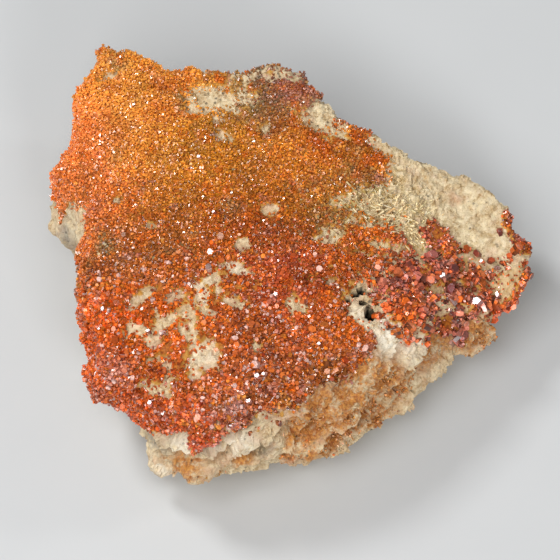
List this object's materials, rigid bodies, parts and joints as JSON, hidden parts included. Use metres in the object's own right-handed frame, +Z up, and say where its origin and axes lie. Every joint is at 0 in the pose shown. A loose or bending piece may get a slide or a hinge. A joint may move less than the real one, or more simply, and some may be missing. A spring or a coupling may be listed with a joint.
{
  "type": "vanadinite on matrix",
  "caption": "Mineral specimen: a loose plate of pale rock with a red to orange crust of hexagonal vanadinite crystals on its upper side.",
  "frame": {"origin": "on the resting face, under the middle of the specimen's bounding box", "axes": "+X runs along the plate towards its narrow arm, +Y to the back, +Z up through the crystal side"},
  "size_m": [0.1168, 0.1074, 0.0405],
  "materials": {
    "rock": "matt, finely bladed and granular",
    "crust": "sparkling fine crystals",
    "coarse_crystal": "glossy crystal faces",
    "flank_crystal": "sugary, half gloss"
  },
  "bodies": {
    "root": {"matrix": "rock", "main_crust": "crust", "right_druse": "coarse_crystal", "island_druse": "coarse_crystal", "rim_druse": "coarse_crystal", "back_edge_druse": "crust", "flank_druse_left": "flank_crystal", "flank_druse_middle": "flank_crystal", "flank_druse_right": "flank_crystal", "ledge_druse": "flank_crystal", "crystal_1": "coarse_crystal", "crystal_2": "coarse_crystal", "crystal_3": "coarse_crystal", "crystal_4": "coarse_crystal", "crystal_5": "coarse_crystal", "crystal_6": "coarse_crystal"}
  },
  "joints": []
}
